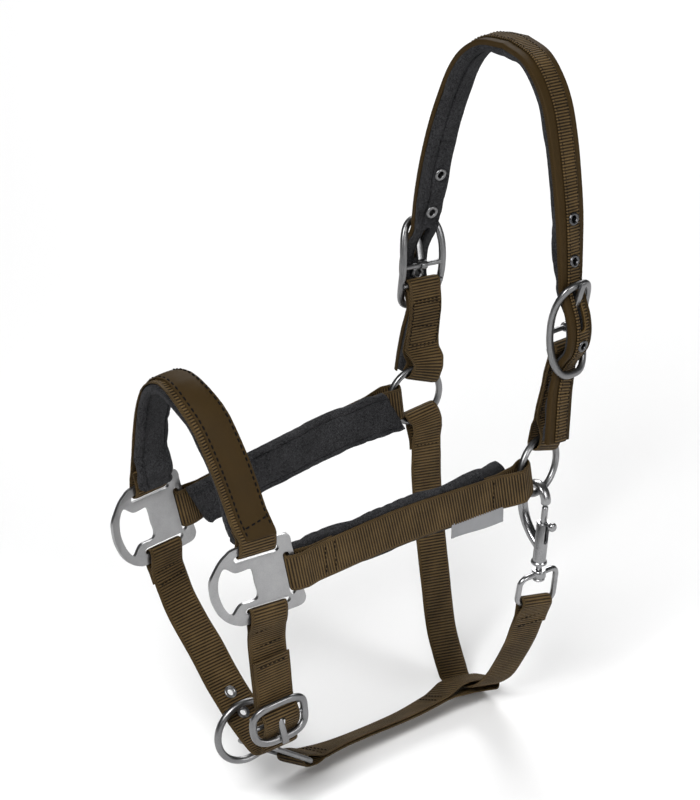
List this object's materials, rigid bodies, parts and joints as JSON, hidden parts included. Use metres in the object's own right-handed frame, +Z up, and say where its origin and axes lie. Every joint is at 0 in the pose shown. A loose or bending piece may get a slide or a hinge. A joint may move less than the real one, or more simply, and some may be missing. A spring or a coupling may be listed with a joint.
{
  "type": "headcollar",
  "caption": "Padded webbing headcollar for a horse, with metal nose plates, cheek rings, buckles, a lead ring under the chin and a bolt snap at the throat.",
  "frame": {"origin": "under the middle of the crown, where it rests behind the ears", "axes": "+Z up, the nose points along -Y, +X is the horse's left (near) side"},
  "size_m": [0.1626, 0.2808, 0.4361],
  "materials": {
    "webbing": "ribbed nylon",
    "cover": "smooth woven nylon",
    "fleece": "brushed fleece",
    "steel": "polished nickel plate",
    "plate": "satin",
    "label": "blank woven label"
  },
  "bodies": {
    "straps": {"crown_padding": "fleece", "crown_backing": "cover", "crown_webbing": "webbing", "crown_eyelet_near_1": "steel", "crown_eyelet_near_2": "steel", "crown_eyelet_near_3": "steel", "crown_eyelet_far_1": "steel", "crown_eyelet_far_2": "steel", "crown_eyelet_far_3": "steel", "crown_buckle_near": "steel", "crown_tab_near": "webbing", "nose_plate_near": "plate", "cheek_webbing_near": "webbing", "cheek_padding_near": "fleece", "crown_buckle_far": "steel", "crown_tab_far": "webbing", "nose_plate_far": "plate", "cheek_webbing_far": "webbing", "cheek_padding_far": "fleece", "noseband_webbing": "webbing", "noseband_cover": "cover", "noseband_padding": "fleece", "label": "label", "chin_buckle": "steel", "chin_strap": "webbing", "chin_eyelet_1": "steel", "chin_eyelet_2": "steel", "chin_tab": "webbing", "lead_link": "steel", "jaw_strap": "webbing", "throat_strap": "webbing", "snap_eye": "steel"},
    "near_ring": {"cheek_ring_near": "steel"},
    "far_ring": {"cheek_ring_far": "steel"},
    "lead_ring_body": {"lead_ring": "steel"},
    "near_tongue": {"crown_tongue_near": "steel"},
    "far_tongue": {"crown_tongue_far": "steel"},
    "chin_tongue_body": {"chin_tongue": "steel"},
    "snap_hook": {"snap_body": "steel", "snap_rivet": "steel", "snap_spring": "steel"},
    "bolt": {"snap_bolt": "steel"}
  },
  "joints": [
    {"name": "near_ring_spin", "type": "hinge", "parent": "straps", "child": "near_ring", "pos_m": [0.059, -0.028, -0.241], "axis": [0.9798, 0.2, 0], "continuous": true},
    {"name": "far_ring_spin", "type": "hinge", "parent": "straps", "child": "far_ring", "pos_m": [-0.059, -0.026, -0.238], "axis": [0.9887, -0.1498, 0], "continuous": true},
    {"name": "lead_ring_spin", "type": "hinge", "parent": "straps", "child": "lead_ring_body", "pos_m": [0.0165, -0.2209, -0.3735], "axis": [0.9926, -0.1215, 0], "continuous": true},
    {"name": "near_tongue_lift", "type": "hinge", "parent": "straps", "child": "near_tongue", "pos_m": [0.066, -0.0142, -0.15], "axis": [-0.1047, 0.9927, -0.0596], "range_deg": [0, 15]},
    {"name": "far_tongue_lift", "type": "hinge", "parent": "straps", "child": "far_tongue", "pos_m": [-0.066, -0.0142, -0.155], "axis": [-0.1047, -0.9927, 0.0596], "range_deg": [0, 15]},
    {"name": "chin_tongue_lift", "type": "hinge", "parent": "straps", "child": "chin_tongue_body", "pos_m": [0.04849, -0.22134, -0.35148], "axis": [-0.1, -0.9895, -0.1045], "range_deg": [0, 12]},
    {"name": "snap_swivel", "type": "hinge", "parent": "straps", "child": "snap_hook", "pos_m": [0.0615, -0.028, -0.3135], "axis": [0, 0, 1], "range_deg": [-12, 12]},
    {"name": "bolt_slide", "type": "slide", "parent": "snap_hook", "child": "bolt", "axis": [-0.118, 0, -0.993], "range_m": [0, 0.006], "stiffness_N_per_m": 400, "springref_m": -0.004, "deforming": ["snap_spring"]}
  ]
}
